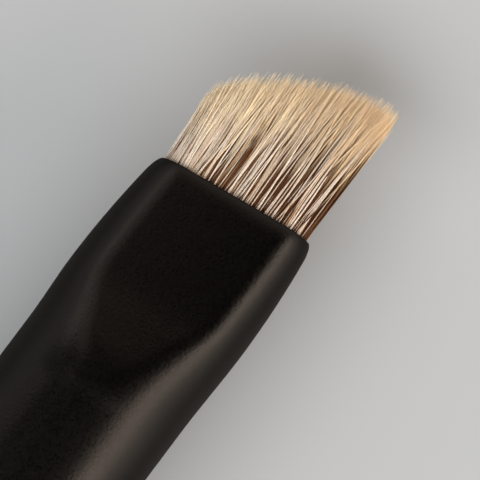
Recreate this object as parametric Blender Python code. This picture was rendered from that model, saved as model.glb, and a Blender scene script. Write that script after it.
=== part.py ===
"""Angled eyebrow brush: a flat, slanted tuft in a pressed black ferrule on a turned wooden handle.

Metres, +Z up. The brush lies along X with its hair towards +X and its flat face up. It rests on the
straight stretch of the handle's belly, at Z = 0, and its long hair is on the -Y side.

Two distances run along the brush: depth is measured behind the rim of the ferrule's mouth, and reach is
measured in front of it. The rim is slanted, so the same depth lies further forward on the -Y side.
A section's shape is three numbers: the half length of its flat, its half width and its half height.
"""
import math
from random import Random

import bmesh
import bpy
import numpy as np
from mathutils.geometry import delaunay_2d_cdt

MM = 0.001

# Facets round each piece, the angle past which an edge is sharp, and the clearance between pieces
SIDES = 32
SHARP_EDGE = math.radians(35)
SEAT_GAP = 0.04 * MM

# Ferrule: the round barrel, the pressed mouth and the bulge that the press squeezes out at its sides
FERRULE_LENGTH = 32.0 * MM
FERRULE_WALL = 0.28 * MM
BARREL_DIAMETER = 7.5 * MM
MOUTH_WIDTH = 6.9 * MM
MOUTH_THICKNESS = 3.3 * MM
MOUTH_SLANT = math.radians(6.2)
PRESSED_FLAT = 4.2 * MM
BULGE_WIDTH = 7.62 * MM
CREASE_DEPTH = 5.2 * MM
CREASE_THICKNESS = 5.2 * MM
RAMP_LENGTH = 3.4 * MM
RAMP_ROUNDING = 0.25
FLAT_FADE = 4.8 * MM
FLAT_FADE_POWER = 1.3
LIP_LENGTH = 0.75 * MM
LIP_TURN = 0.18 * MM

# Crimp rings, which lock the ferrule to the handle's tenon
CRIMPS = 2
CRIMP_FROM_BACK = 3.2 * MM
CRIMP_SPACING = 2.6 * MM
CRIMP_WIDTH = 1.3 * MM
CRIMP_GROOVE = 0.28 * MM

# Handle, from the ferrule's back rim to the flat on its tail
HANDLE_LENGTH = 112.0 * MM
SHOULDER_STEP = 0.06 * MM
SHOULDER_CHAMFER = 0.2 * MM
BELLY_DIAMETER = 8.2 * MM
BELLY_START = 15.0 * MM
BELLY_LENGTH = 40.0 * MM
TAPER_POWER = 1.7
TAIL_DIAMETER = 5.0 * MM
TAIL_ROUND = 1.0 * MM
TENON_LENGTH = 14.0 * MM
TENON_CHAMFER = 0.6 * MM
HANDLE_GLUE = 0.15 * MM
GLUE_SETBACK = 1.2 * MM

# Bundle of hair inside the ferrule, from the backing that the strands stand on to its root
BACKING_DEPTH = 0.3 * MM
NECK_LENGTH = 6.2 * MM
THREAD_SETBACK = 0.5 * MM
THREAD_DIAMETER = 0.3 * MM
THREAD_TURNS = 5
THREAD_TO_EPOXY = 0.3 * MM
ROOT_GRIP = 2.6 * MM
EPOXY_FLOOR = 1.6 * MM

# Cut of the tuft: its long corner, and how much shorter the hair is at the far side
LONG_REACH = 6.5 * MM
SHORT_DROP = 3.35 * MM
CUT_POWER = 1.8
STEEP_SHARE = 0.17
STEEP_POWER = 6
CORNER_WIDTH = 0.25 * MM
CORNER_DROP = 0.25 * MM

# Strands
STRAND_PITCH = 0.208 * MM
STRAND_WIDTH = 0.1 * MM
STRAND_MARGIN = 0.04 * MM
STRAND_BEND = 0.66
STRAND_TIP = 0.45
STRAND_UNEVEN = 0.2 * MM
LEAN_AT_SHORT_SIDE = 0.1
DRAWN_IN_AT_TIP = 0.24

# Height of the brush's axis when its belly stands on one of its facets
AXIS_HEIGHT = BELLY_DIAMETER / 2 * math.cos(math.pi / SIDES)

# Stations along X
BRUSH_LENGTH = LONG_REACH + FERRULE_LENGTH + SEAT_GAP + HANDLE_LENGTH
MOUTH_X = BRUSH_LENGTH / 2 - LONG_REACH
SHOULDER_X = MOUTH_X - FERRULE_LENGTH - SEAT_GAP

# Depths behind the rim
FLAT_END = CREASE_DEPTH + FLAT_FADE
ROOT_START = BACKING_DEPTH + NECK_LENGTH
THREAD_START = ROOT_START + THREAD_SETBACK
EPOXY_START = THREAD_START + THREAD_TURNS * THREAD_DIAMETER + THREAD_TO_EPOXY
ROOT_END = EPOXY_START + ROOT_GRIP
EPOXY_END = ROOT_END + SEAT_GAP + EPOXY_FLOOR
TENON_FRONT = FERRULE_LENGTH - TENON_LENGTH


def smooth(value):
    """Ease from 0 to 1 with level ends, for a value that is cut to the range 0 to 1."""
    value = min(1.0, max(0.0, value))
    return value * value * (3 - 2 * value)


def outline(shape, spare=0.0):
    """Section as (SIDES, 2) points of Y and Z, evenly spaced round its perimeter.

    It has a flat above and below, and half ellipses between them, so with no flat and equal halves it is
    a circle. `spare` widens it. Its lowest two points are level, so a facet lies at the bottom.
    """
    flat, half_width, half_height = shape
    quarter = np.linspace(0.0, math.pi / 2, 33)
    bulge_y = flat + (half_width + spare - flat) * np.sin(quarter)
    bulge_z = -(half_height + spare) * np.cos(quarter)
    lower = np.stack((bulge_y, bulge_z), axis=1)
    bottom = [[0.0, bulge_z[0]]]
    right = np.concatenate((bottom, lower, lower[-2::-1] * (1, -1), [[0.0, -bulge_z[0]]]))
    fine = np.concatenate((right, right[-2::-1] * (-1, 1)))
    walked = np.concatenate(([0.0], np.cumsum(np.hypot(*np.diff(fine, axis=0).T))))
    wanted = (np.arange(SIDES) + 0.5) * walked[-1] / SIDES
    return np.stack((np.interp(wanted, walked, fine[:, 0]), np.interp(wanted, walked, fine[:, 1])), axis=1)


def slant_at(depth):
    """Slant of a ring at a depth: the mouth's up to the crease, and none on the round barrel."""
    return math.tan(MOUTH_SLANT) * (1 - smooth((depth - CREASE_DEPTH) / RAMP_LENGTH))


def place(points, depth):
    """A section's Y and Z points as a ring of XYZ points at a depth behind the slanted rim."""
    x = MOUTH_X - depth - slant_at(depth) * points[:, 0]
    return np.column_stack((x, points[:, 0], points[:, 1] + AXIS_HEIGHT))


def turned_ring(x, radius):
    """Ring of a turned piece: a circle round the brush's axis."""
    points = outline((0.0, radius, radius))
    return np.column_stack((np.full(SIDES, x), points[:, 0], points[:, 1] + AXIS_HEIGHT))


def ferrule_shape(depth):
    """Section of the ferrule's outside at a depth, before its lip and crimps draw it in.

    Up to the crease the width swells as a parabola and the thickness grows steadily. Past it the ramp
    climbs to the barrel's diameter with a rounded end, and the flat narrows to nothing.
    """
    barrel = BARREL_DIAMETER / 2
    bulge = BULGE_WIDTH / 2
    if depth <= CREASE_DEPTH:
        share = depth / CREASE_DEPTH
        half_width = bulge - (bulge - MOUTH_WIDTH / 2) * (1 - share) ** 2
        half_height = (MOUTH_THICKNESS + (CREASE_THICKNESS - MOUTH_THICKNESS) * share) / 2
        return PRESSED_FLAT / 2, half_width, half_height
    climb = (depth - CREASE_DEPTH) / RAMP_LENGTH
    half_width = bulge + (barrel - bulge) * smooth(climb)
    if climb > 1 - RAMP_ROUNDING:
        left = max(0.0, 1 + RAMP_ROUNDING - climb)
        climb = 1 - left * left / (4 * RAMP_ROUNDING)
    half_height = CREASE_THICKNESS / 2 + (barrel - CREASE_THICKNESS / 2) * climb
    fade = min(1.0, (depth - CREASE_DEPTH) / FLAT_FADE)
    return PRESSED_FLAT / 2 * (1 - fade) ** FLAT_FADE_POWER, half_width, half_height


def lip_inset(depth):
    """How far the rolled lip draws the outside in: a quarter ellipse over the lip's length."""
    rest = max(0.0, 1 - depth / LIP_LENGTH)
    return LIP_TURN * (1 - math.sqrt(1 - rest * rest))


def crimp_depths():
    """Depths of the crimp rings' middles, the front one first."""
    last = FERRULE_LENGTH - CRIMP_FROM_BACK
    return [last - i * CRIMP_SPACING for i in reversed(range(CRIMPS))]


def crimp_inset(depth):
    """How far the crimp rings press the wall in: a raised cosine over each ring's width."""
    inset = 0.0
    for middle in crimp_depths():
        off = abs(depth - middle) / (CRIMP_WIDTH / 2)
        if off < 1:
            inset += CRIMP_GROOVE * (1 + math.cos(math.pi * off)) / 2
    return inset


def crimp_stations():
    """Depths that follow the crimp rings' raised cosines."""
    shares = (-0.5, -0.25, 0.0, 0.25, 0.5)
    return [middle + share * CRIMP_WIDTH for middle in crimp_depths() for share in shares]


def bore_stations(start, end):
    """Depths from start to end at which the ferrule's wall changes."""
    pressed = [CREASE_DEPTH * share for share in (0.5, 0.75, 1.0)]
    ramp = [CREASE_DEPTH + RAMP_LENGTH * share for share in (0.15, 0.4, 0.75, 0.9, 1.0, 1 + RAMP_ROUNDING)]
    between = [depth for depth in pressed + ramp + [FLAT_END] + crimp_stations() if start < depth < end]
    return [start, *sorted(between), end]


def wall_ring(depth, inset):
    """Ring that runs `inset` inside the ferrule's outside and follows its crimps."""
    return place(outline(ferrule_shape(depth), -inset - crimp_inset(depth)), depth)


def bundle_shape(depth):
    """Section of the bundle of hair: it fills the bore at the backing, and becomes round at its root.

    The root's circle has the area of the backing's section, because the same hairs run through both.
    """
    flat, half_width, half_height = ferrule_shape(BACKING_DEPTH)
    half_width -= FERRULE_WALL + SEAT_GAP
    half_height -= FERRULE_WALL + SEAT_GAP
    area = 4 * flat * half_height + math.pi * (half_width - flat) * half_height
    root = math.sqrt(area / math.pi)
    share = min(1.0, (depth - BACKING_DEPTH) / NECK_LENGTH)
    backing = (flat, half_width, half_height)
    return tuple(one + (other - one) * share for one, other in zip(backing, (0.0, root, root)))


def bundle_ring(depth, spare):
    """Ring that runs `spare` outside the bundle of hair."""
    return place(outline(bundle_shape(depth), spare), depth)


def skin_rings(bm, rings, closed):
    """Join rings of equal length with quads, and the last to the first for a tube with a bore."""
    loops = [[bm.verts.new(point) for point in ring] for ring in rings]
    pairs = list(zip(loops, loops[1:]))
    if closed:
        pairs.append((loops[-1], loops[0]))
    for one, other in pairs:
        for i in range(len(one)):
            j = (i + 1) % len(one)
            bm.faces.new((one[i], one[j], other[j], other[i]))
    return loops


def loft(rings, closed=False):
    """Solid through rings: a tube with a bore when closed, or else with a flat face at each end."""
    bm = bmesh.new()
    loops = skin_rings(bm, rings, closed)
    if not closed:
        bm.faces.new(loops[0])
        bm.faces.new(loops[-1])
    return bm


def add_object(bm, name, colour, roughness):
    """Put a bmesh into a named object with a material of its own, shaded smooth but at its edges."""
    bmesh.ops.recalc_face_normals(bm, faces=bm.faces)
    mesh = bpy.data.meshes.new(name)
    bm.to_mesh(mesh)
    bm.free()
    mesh.shade_smooth()
    mesh.set_sharp_from_angle(angle=SHARP_EDGE)
    material = bpy.data.materials.new(name)
    material.use_nodes = True
    shader = material.node_tree.nodes["Principled BSDF"]
    shader.inputs["Base Color"].default_value = (*colour, 1.0)
    shader.inputs["Roughness"].default_value = roughness
    shader.inputs["Metallic"].default_value = 0.0
    mesh.materials.append(material)
    bpy.context.scene.collection.objects.link(bpy.data.objects.new(name, mesh))


def make_ferrule():
    """The tube: its outside from the lip to the back rim, then its bore back to the mouth."""
    lip = [LIP_LENGTH * share for share in (0.0, 0.08, 0.25, 0.55)]
    outside = lip + bore_stations(LIP_LENGTH, FERRULE_LENGTH)
    rings = [wall_ring(depth, lip_inset(depth)) for depth in outside]
    bore = bore_stations(0.0, FERRULE_LENGTH)
    rings += [wall_ring(depth, FERRULE_WALL) for depth in reversed(bore)]
    add_object(loft(rings, closed=True), "ferrule", (0.012, 0.012, 0.013), 0.42)


def tenon_radius(depth):
    """Radius of the tenon, which leaves room for the glue and follows the crimps."""
    room = FERRULE_WALL + SEAT_GAP + HANDLE_GLUE + SEAT_GAP
    return BARREL_DIAMETER / 2 - room - crimp_inset(depth)


def make_handle():
    """The turned handle: tenon, shoulder, belly with a straight stretch, taper and rounded tail."""
    rings = [turned_ring(MOUTH_X - TENON_FRONT, tenon_radius(TENON_FRONT) - TENON_CHAMFER)]
    for depth in (TENON_FRONT + TENON_CHAMFER, *crimp_stations(), FERRULE_LENGTH + SEAT_GAP):
        rings.append(turned_ring(MOUTH_X - depth, tenon_radius(depth)))

    shoulder = BARREL_DIAMETER / 2 + SHOULDER_STEP
    belly = BELLY_DIAMETER / 2
    rings.append(turned_ring(SHOULDER_X, shoulder - SHOULDER_CHAMFER))
    for share in np.linspace(0.0, 1.0, 6):
        back = SHOULDER_CHAMFER + (BELLY_START - SHOULDER_CHAMFER) * share
        rings.append(turned_ring(SHOULDER_X - back, shoulder + (belly - shoulder) * smooth(share)))

    tail = TAIL_DIAMETER / 2
    taper_start = BELLY_START + BELLY_LENGTH
    taper_end = HANDLE_LENGTH - TAIL_ROUND
    for share in np.linspace(0.0, 1.0, 9):
        back = taper_start + (taper_end - taper_start) * share
        rings.append(turned_ring(SHOULDER_X - back, belly - (belly - tail) * share ** TAPER_POWER))
    for turn in np.linspace(0.0, math.pi / 2, 5)[1:]:
        back = taper_end + TAIL_ROUND * math.sin(turn)
        rings.append(turned_ring(SHOULDER_X - back, tail - TAIL_ROUND * (1 - math.cos(turn))))
    add_object(loft(rings), "handle", (0.010, 0.010, 0.010), 0.3)


def make_handle_glue():
    """The sleeve of adhesive between the tenon and the ferrule's bore."""
    depths = [TENON_FRONT + GLUE_SETBACK, *crimp_stations(), FERRULE_LENGTH]
    rings = []
    for depth in depths:
        rings.append(turned_ring(MOUTH_X - depth, tenon_radius(depth) + SEAT_GAP + HANDLE_GLUE))
    for depth in reversed(depths):
        rings.append(turned_ring(MOUTH_X - depth, tenon_radius(depth) + SEAT_GAP))
    add_object(loft(rings, closed=True), "handle_glue", (0.62, 0.55, 0.38), 0.35)


def cut_reach(y, half_width):
    """Reach of the rounded, slanted cut for a strand whose root is at Y = y.

    The cut falls in a curve from the long corner, and more steeply near the short side.
    """
    away = (y + half_width - CORNER_WIDTH) / (2 * half_width - CORNER_WIDTH)
    if away < 0:
        return LONG_REACH - CORNER_DROP * ((y + half_width - CORNER_WIDTH) / CORNER_WIDTH) ** 2
    drop = (1 - STEEP_SHARE) * away ** CUT_POWER + STEEP_SHARE * away ** STEEP_POWER
    return LONG_REACH - SHORT_DROP * drop


def strand_roots(shape):
    """Y and Z of each strand's root: staggered rows that fill the bundle's section."""
    flat, half_width, half_height = shape
    margin = STRAND_WIDTH / math.sqrt(3) + STRAND_MARGIN
    row_pitch = STRAND_PITCH * math.sqrt(3) / 2
    rows = int((half_height - margin) / row_pitch)
    roots = []
    for row in range(-rows, rows + 1):
        z = row * row_pitch
        bulge = math.sqrt(1 - (z / (half_height - margin)) ** 2)
        reach = flat + (half_width - margin - flat) * bulge
        shift = 0.5 if row % 2 else 0.0
        across = math.ceil(reach / STRAND_PITCH)
        ys = [(column + shift) * STRAND_PITCH for column in range(-across, across + 1)]
        roots += [(y, z) for y in ys if abs(y) <= reach]
    return roots


def strand_rings(y, z, half_width, shorter):
    """Base, bend and tip triangles of one strand, whose lean and drawing in follow from its root."""
    slant = slant_at(BACKING_DEPTH)
    base_x = MOUTH_X - BACKING_DEPTH - slant * y
    tip_x = MOUTH_X + cut_reach(y, half_width) - shorter
    lean = LEAN_AT_SHORT_SIDE * (1 + y / half_width) / 2
    rings = []
    for share, size in ((0.0, 1.0), (STRAND_BEND, 1.0), (1.0, STRAND_TIP)):
        run = (tip_x - base_x) * share
        drawn = 1 - DRAWN_IN_AT_TIP * run / (LONG_REACH + BACKING_DEPTH)
        ring = []
        for corner in range(3):
            turn = math.pi / 2 + corner * math.tau / 3
            dy = size * STRAND_WIDTH / math.sqrt(3) * math.cos(turn)
            dz = size * STRAND_WIDTH / math.sqrt(3) * math.sin(turn)
            dx = -slant * dy if share == 0 else 0.0
            ring.append((base_x + run + dx, y + lean * run + dy, z * drawn + dz + AXIS_HEIGHT))
        rings.append(ring)
    return rings


def make_hair_tuft():
    """The bundle down to its root, with each strand standing on its own triangle of the backing."""
    bm = bmesh.new()
    depths = (BACKING_DEPTH, CREASE_DEPTH / 2, CREASE_DEPTH, ROOT_START, ROOT_END)
    loops = skin_rings(bm, [bundle_ring(depth, 0.0) for depth in depths], closed=False)
    bm.faces.new(loops[-1])

    dice = Random(7)
    shape = bundle_shape(BACKING_DEPTH)
    roots = strand_roots(shape)
    verts = list(loops[0])
    faces = [list(range(SIDES))]
    for y, z in roots:
        rings = strand_rings(y, z, shape[1], dice.uniform(0.0, STRAND_UNEVEN))
        base, bend, tip = skin_rings(bm, rings, closed=False)
        bm.faces.new(tip)
        faces.append(list(range(len(verts), len(verts) + 3)))
        verts += base

    flat = [(vert.co.y / MM, vert.co.z / MM) for vert in verts]
    _, _, triangles, ids, _, sources = delaunay_2d_cdt(flat, [], faces, 1, 1e-6, True)
    for triangle, source in zip(triangles, sources):
        if source == [0]:
            bm.faces.new([verts[ids[i][0]] for i in triangle])
    print(f"hair_tuft: {len(roots)} strands")
    add_object(bm, "hair_tuft", (0.62, 0.48, 0.31), 0.6)


def make_binding_thread():
    """The thread's turns, drawn tight side by side into one ribbed band round the bundle."""
    rings = []
    for i in range(2 * THREAD_TURNS + 1):
        depth = THREAD_START + THREAD_DIAMETER * i / 2
        rib = 1.0 if i % 2 else 0.7
        rings.append(bundle_ring(depth, SEAT_GAP + THREAD_DIAMETER * rib))
    for i in reversed(range(THREAD_TURNS + 1)):
        rings.append(bundle_ring(THREAD_START + THREAD_DIAMETER * i, SEAT_GAP))
    add_object(loft(rings, closed=True), "binding_thread", (0.80, 0.77, 0.68), 0.8)


def make_glue_plug():
    """The epoxy cup: its outside follows the bore, and its pocket holds the root of the bundle."""
    depths = bore_stations(EPOXY_START, EPOXY_END)
    rings = [wall_ring(depth, FERRULE_WALL + SEAT_GAP) for depth in reversed(depths)]
    rings += [bundle_ring(depth, SEAT_GAP) for depth in (EPOXY_START, ROOT_END + SEAT_GAP)]
    add_object(loft(rings), "glue_plug", (0.46, 0.30, 0.12), 0.2)


def main():
    """Build the brush from an empty scene."""
    for old in list(bpy.data.objects):
        bpy.data.objects.remove(old, do_unlink=True)
    make_ferrule()
    make_hair_tuft()
    make_binding_thread()
    make_glue_plug()
    make_handle()
    make_handle_glue()


main()
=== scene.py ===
"""Looks of an angled eyebrow brush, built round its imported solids.

Metres, +Z up. The brush lies along X with its hair towards +X, its flat face up and its long hair at -Y.
Depth is measured behind the rim of the ferrule's mouth, and reach in front of it. A surface is a grid of
points whose rows are rings. Where the rows run towards the tail, each ring starts at the top and goes
round over the +Y side, so that the faces point outwards; the bore's rows run back to the mouth.
"""
import logging
import math
from dataclasses import dataclass
from enum import Enum

import bpy
import numpy as np
from bpy.types import ID, Material, Node, NodeSocket
from mathutils import Matrix, Vector


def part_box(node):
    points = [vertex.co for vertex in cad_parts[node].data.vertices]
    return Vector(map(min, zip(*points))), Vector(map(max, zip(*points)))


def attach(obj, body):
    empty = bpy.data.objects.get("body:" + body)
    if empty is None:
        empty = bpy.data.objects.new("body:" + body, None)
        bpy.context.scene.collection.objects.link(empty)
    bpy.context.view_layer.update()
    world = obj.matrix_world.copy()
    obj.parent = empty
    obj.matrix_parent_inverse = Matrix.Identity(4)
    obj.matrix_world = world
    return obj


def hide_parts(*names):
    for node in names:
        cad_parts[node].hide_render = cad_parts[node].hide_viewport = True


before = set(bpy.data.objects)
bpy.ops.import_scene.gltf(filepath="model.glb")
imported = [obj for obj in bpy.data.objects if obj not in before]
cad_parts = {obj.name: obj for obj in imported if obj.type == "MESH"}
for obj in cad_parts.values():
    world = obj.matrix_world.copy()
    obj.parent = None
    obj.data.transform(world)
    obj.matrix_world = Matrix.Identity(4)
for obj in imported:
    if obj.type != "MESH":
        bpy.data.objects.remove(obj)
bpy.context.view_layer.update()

MM = 0.001
BODY = "root"
SHARP_EDGE = math.radians(40)
STRAND_MAP = "OFBake"
CAP_RADIUS = 0.3
NOISE_BULK = (0.3, 0.7)

Array = np.ndarray
Pair = tuple[Array, Array]

log = logging.getLogger("brush")


def smooth(value: Array, start: float = 0.0, end: float = 1.0) -> Array:
    """Ease from 0 at the start to 1 at the end: t * t * (3 - 2 t), with t the share of the way."""
    t = np.clip((value - start) / (end - start), 0.0, 1.0)
    return t * t * (3 - 2 * t)


def past(value: Array, rounding: float) -> Array:
    """How far a value is past 0: 0 below -rounding, the value above rounding, a parabola between."""
    bend = (np.clip(value, -rounding, rounding) + rounding) ** 2 / (4 * rounding)
    return np.where(value > rounding, value, bend)


def grid_faces(rows: int, columns: int, closed: bool = False) -> Array:
    """Quads between neighbouring rings of a grid.

    Args:
        rows: Number of rings.
        columns: Number of points in a ring.
        closed: Whether the last ring also joins the first, as on a tube with a bore.

    Returns:
        Four corner numbers for each quad.
    """
    row = np.arange(rows if closed else rows - 1)[:, None]
    column = np.arange(columns)[None, :]
    ring, below, after = row * columns, (row + 1) % rows * columns, (column + 1) % columns
    return np.stack((ring + column, ring + after, below + after, below + column), axis=-1).reshape(-1, 4)


def rod_faces(rows: int, columns: int) -> list[Array]:
    """Faces of a closed rod: the quads between its rings, and a cap on its first and its last one."""
    ring = np.arange(columns)[None, :]
    return [grid_faces(rows, columns), ring[:, ::-1], ring + (rows - 1) * columns]


def make_piece(name: str, points: Array, face_sets: list[Array], node: str,
               material: Material, places: Array | None = None) -> None:
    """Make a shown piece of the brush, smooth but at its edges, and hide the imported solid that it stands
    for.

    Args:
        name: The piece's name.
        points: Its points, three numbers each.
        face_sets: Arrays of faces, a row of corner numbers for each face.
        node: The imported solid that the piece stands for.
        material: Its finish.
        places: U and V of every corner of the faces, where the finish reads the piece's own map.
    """
    mesh = bpy.data.meshes.new(name)
    points = points.reshape(-1, 3)
    corners = np.concatenate([faces.ravel() for faces in face_sets])
    sizes = np.concatenate([np.full(len(faces), faces.shape[1]) for faces in face_sets])
    mesh.vertices.add(len(points))
    mesh.vertices.foreach_set("co", points.astype(np.float32).ravel())
    mesh.loops.add(len(corners))
    mesh.loops.foreach_set("vertex_index", corners.astype(np.int32))
    mesh.polygons.add(len(sizes))
    mesh.polygons.foreach_set("loop_start", (np.cumsum(sizes) - sizes).astype(np.int32))
    mesh.update(calc_edges=True)
    mesh.shade_smooth()
    mesh.set_sharp_from_angle(angle=SHARP_EDGE)
    if places is not None:
        own_map = mesh.uv_layers.new(name=STRAND_MAP)
        own_map.data.foreach_set("uv", places.astype(np.float32).ravel())
    mesh.materials.append(material)
    piece = bpy.data.objects.new(name, mesh)
    bpy.context.scene.collection.objects.link(piece)
    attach(piece, BODY)
    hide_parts(node)
    log.info("%s: %d points, %d faces", name, len(points), len(sizes))


@dataclass(frozen=True)
class Noise:
    """A cloudy pattern: its bumps a metre, its levels of detail and how strong these are."""

    scale: float
    detail: float = 2.0
    roughness: float = 0.5


class Graph:
    """Nodes of one material or world, with short calls to add and join them."""

    def __init__(self, owner: ID) -> None:
        """Start from the owner's own first nodes.

        Args:
            owner: A material or a world.
        """
        owner.use_nodes = True
        self.nodes = owner.node_tree.nodes
        self.links = owner.node_tree.links

    def feed(self, node: Node, inputs: dict) -> None:
        """Set the inputs of a node.

        Args:
            node: The node.
            inputs: Values or output sockets for its inputs, by name or number.
        """
        for name, value in inputs.items():
            if isinstance(value, NodeSocket):
                self.links.new(value, node.inputs[name])
            else:
                node.inputs[name].default_value = value

    def add(self, kind: str, inputs: dict | None = None, **settings: object) -> Node:
        """Add a node.

        Args:
            kind: Its type's name, without the leading ShaderNode.
            inputs: Values or output sockets, as for feed().
            **settings: Its own settings.

        Returns:
            The node.
        """
        node = self.nodes.new("ShaderNode" + kind)
        for name, value in settings.items():
            setattr(node, name, value)
        self.feed(node, inputs or {})
        return node

    def place(self) -> NodeSocket:
        """Object coordinates."""
        return self.add("TexCoord").outputs["Object"]

    def split(self, vector: NodeSocket) -> list[NodeSocket]:
        """The three numbers of a vector."""
        return list(self.add("SeparateXYZ", {0: vector}).outputs)

    def own_map(self) -> list[NodeSocket]:
        """U and V on the piece's own map, and 0."""
        return self.split(self.add("UVMap", uv_map=STRAND_MAP).outputs[0])

    def math(self, operation: str, one: object, other: object = 0.0) -> NodeSocket:
        """Output of a Math node."""
        return self.add("Math", {0: one, 1: other}, operation=operation).outputs[0]

    def spread(self, value: object, low: float, high: float, start: float = 0.0, end: float = 1.0,
               ease: str = "LINEAR") -> NodeSocket:
        """Map a value so that start gives low and end gives high; the ease is LINEAR or SMOOTHSTEP."""
        inputs = {"Value": value, "From Min": start, "From Max": end, "To Min": low, "To Max": high}
        return self.add("MapRange", inputs, interpolation_type=ease).outputs["Result"]

    def mix(self, share: object, one: object, other: object) -> NodeSocket:
        """Mix two colours; the share is that of the second."""
        return self.add("Mix", {0: share, 6: one, 7: other}, data_type="RGBA").outputs[2]

    def noise(self, vector: NodeSocket, noise: Noise) -> NodeSocket:
        """Value of a noise at the vector."""
        inputs = {"Scale": noise.scale, "Detail": noise.detail, "Roughness": noise.roughness}
        return self.add("TexNoise", {"Vector": vector, **inputs}).outputs[0]

    def bump(self, height: NodeSocket, rise: float, under: NodeSocket | None = None) -> NodeSocket:
        """Normal of a surface raised by height times rise metres, over the bumps that are under it."""
        inputs = {"Strength": 1.0, "Distance": rise, "Height": height}
        return self.add("Bump", inputs if under is None else {**inputs, "Normal": under}).outputs[0]


class Surface(Graph):
    """Graph of a new material."""

    def __init__(self, name: str) -> None:
        """Start the material from its Principled shader."""
        self.material = bpy.data.materials.new(name)
        super().__init__(self.material)

    def finished(self, inputs: dict) -> Material:
        """The material, once its shader has these inputs."""
        self.feed(self.nodes["Principled BSDF"], inputs)
        return self.material


def colour(red: float, green: float, blue: float) -> tuple[float, float, float, float]:
    """An opaque colour for a node's socket."""
    return red, green, blue, 1.0


@dataclass(frozen=True)
class MatteCoat:
    """Soft black coat on the ferrule: sprayed, so it has a fine grain that shows in the highlights.

    Its gloss is warm. It is rougher where it turns away from the eye, which keeps its edges dark.
    """

    base: tuple = colour(0.00025, 0.00024, 0.00023)
    rubbed: tuple = colour(0.0009, 0.00085, 0.0008)
    rubbed_clouds: tuple = (0.45, 0.75)
    rubbed_gloss: float = 0.04
    roughness: tuple = (0.25, 0.35)
    edge_roughness: float = 1.0
    edge_facing: tuple = (0.1, 0.55)
    refraction: float = 1.34
    gloss_tint: tuple = colour(1.0, 0.86, 0.76)
    grain: Noise = Noise(8000, 3.0, 0.65)
    grain_rise: float = 1.1e-5
    cloud: Noise = Noise(420, 3.0, 0.55)
    press_rise: float = 9e-6

    def build(self) -> Material:
        """Two noises: a grain for the spray and a cloud for the rubbing and the press.

        Returns:
            The material.
        """
        surface = Surface("matte_coat")
        place = surface.place()
        grain = surface.noise(place, self.grain)
        cloud = surface.noise(place, self.cloud)
        worn = surface.spread(cloud, 0.0, 1.0, *self.rubbed_clouds, "SMOOTHSTEP")
        fine = surface.spread(grain, *self.roughness, *NOISE_BULK)
        fine = surface.math("SUBTRACT", fine, surface.math("MULTIPLY", worn, self.rubbed_gloss))
        facing = surface.add("LayerWeight").outputs["Facing"]
        edge = surface.spread(facing, 0.0, 1.0, *self.edge_facing, "SMOOTHSTEP")
        return surface.finished({
            "Base Color": surface.mix(worn, self.base, self.rubbed),
            "Roughness": surface.add("Mix", {0: edge, 2: fine, 3: self.edge_roughness}).outputs[0],
            "IOR": self.refraction,
            "Specular Tint": self.gloss_tint,
            "Normal": surface.bump(grain, self.grain_rise, surface.bump(cloud, self.press_rise)),
        })


@dataclass(frozen=True)
class BlackLacquer:
    """Satin black lacquer on turned wood, whose grain still shows as faint long ridges."""

    base: tuple = colour(0.0060, 0.0056, 0.0053)
    thin: tuple = colour(0.0130, 0.0100, 0.0080)
    pores: tuple = (0.55, 0.75)
    roughness: tuple = (0.20, 0.30)
    coat: float = 0.35
    coat_roughness: float = 0.12
    grain_scale: tuple = (90.0, 2600.0, 2600.0)
    grain: Noise = Noise(1.0, 4.0, 0.6)
    grain_rise: float = 1.6e-6
    peel: Noise = Noise(700)
    peel_rise: float = 3e-6

    def build(self) -> Material:
        """Wood grain drawn out along X, under the slight orange peel of the lacquer.

        Returns:
            The material.
        """
        surface = Surface("black_lacquer")
        place = surface.place()
        along = surface.add("Mapping", {"Vector": place, "Scale": self.grain_scale}).outputs[0]
        grain = surface.noise(along, self.grain)
        peel = surface.noise(place, self.peel)
        pore = surface.spread(grain, 0.0, 1.0, *self.pores, "SMOOTHSTEP")
        return surface.finished({
            "Base Color": surface.mix(pore, self.base, self.thin),
            "Roughness": surface.spread(peel, *self.roughness),
            "Coat Weight": self.coat,
            "Coat Roughness": self.coat_roughness,
            "Normal": surface.bump(peel, self.peel_rise, surface.bump(grain, self.grain_rise)),
        })


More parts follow.
